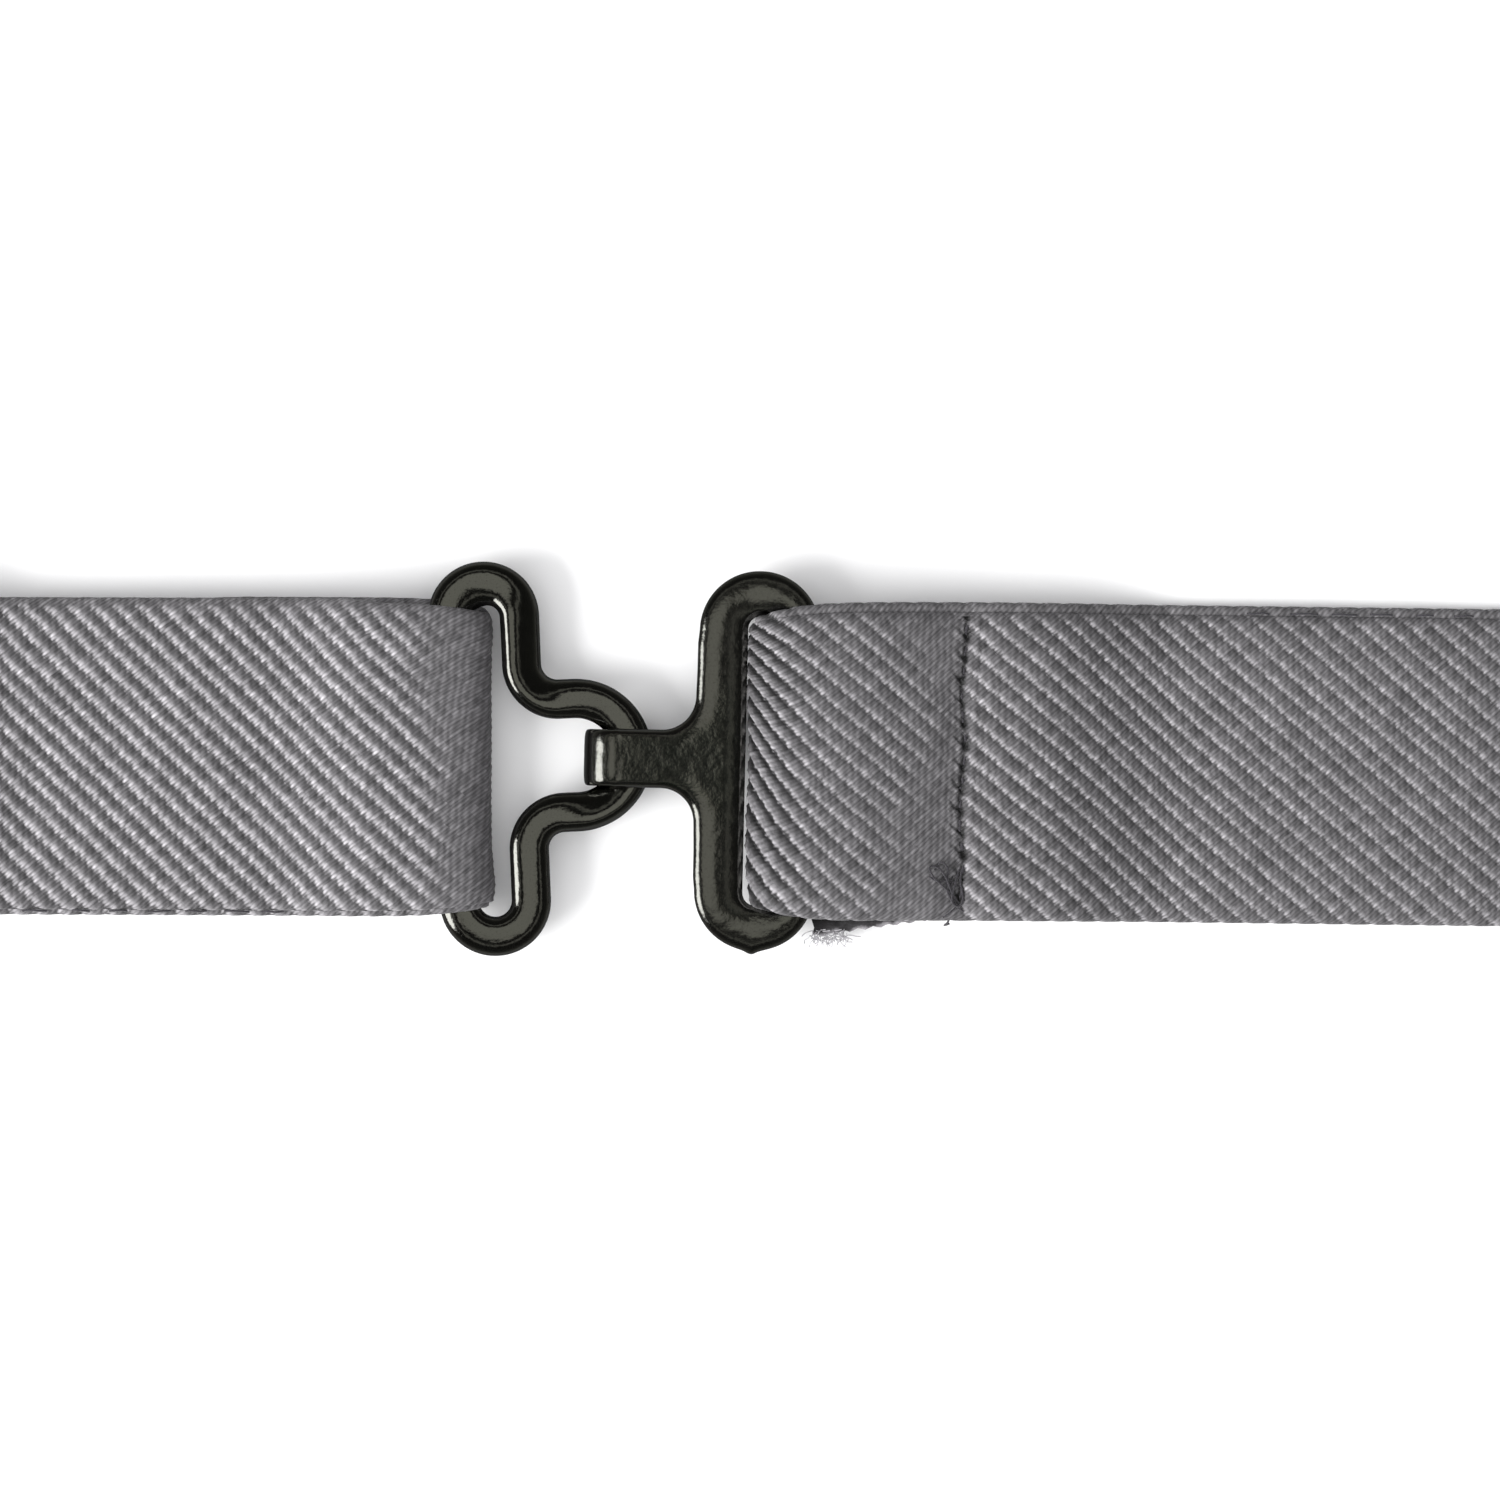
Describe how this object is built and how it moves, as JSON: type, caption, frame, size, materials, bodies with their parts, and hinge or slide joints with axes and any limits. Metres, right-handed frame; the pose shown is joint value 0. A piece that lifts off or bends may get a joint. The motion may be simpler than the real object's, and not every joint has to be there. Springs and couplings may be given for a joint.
{
  "type": "hook-and-eye neckband clasp",
  "caption": "Neckband clasp of a bow tie: a looped, adjustable silk band end in a wire eye, hooked to a T-hook that is sewn into the other silk band end.",
  "frame": {"origin": "on the resting plane, under the middle of the whole clasp, where the hook lies over the eye's nose", "axes": "+X along the band towards the sewn end that holds the hook, +Y across the band towards its upper edge, +Z out of the face side"},
  "size_m": [0.176, 0.0236, 0.0062],
  "materials": {
    "silk": "grey ribbed silk on the bias, soft sheen",
    "interlining": "off-white woven wool and cotton interlining",
    "thread": "dark grey spun sewing thread",
    "black_nickel": "polished black nickel plate"
  },
  "bodies": {
    "left_band": {"left_silk_band": "silk", "left_interlining": "interlining", "left_slip_stitches": "thread", "left_end_overcast": "thread"},
    "adjuster": {"adjuster_slide": "black_nickel", "adjuster_tape_end": "silk", "adjuster_tape_stitches": "thread"},
    "eye": {"eye": "black_nickel"},
    "hook": {"hook": "black_nickel"},
    "right_band": {"right_silk_band": "silk", "right_interlining": "interlining", "right_turned_hem": "silk", "right_cross_seam": "thread", "seam_knot": "thread", "right_slip_stitches": "thread", "right_end_overcast": "thread"}
  },
  "joints": [
    {"name": "eye_swing", "type": "hinge", "parent": "left_band", "child": "eye", "pos_m": [-0.00962, -0.00011, 0.00215], "axis": [-0.0419, 0.9991, 0], "range_deg": [-70, 70]},
    {"name": "hook_release", "type": "slide", "parent": "eye", "child": "hook", "axis": [-0.9943, 0.0226, 0.1045], "range_m": [0, 0.0032]},
    {"name": "right_band_swing", "type": "hinge", "parent": "hook", "child": "right_band", "pos_m": [0.01096, -0.00026, 0.00237], "axis": [0.0227, 0.9997, 0], "range_deg": [-70, 70]},
    {"name": "adjuster_travel", "type": "slide", "parent": "left_band", "child": "adjuster", "axis": [1, 0, 0], "range_m": [-0.006, 0.006]}
  ]
}
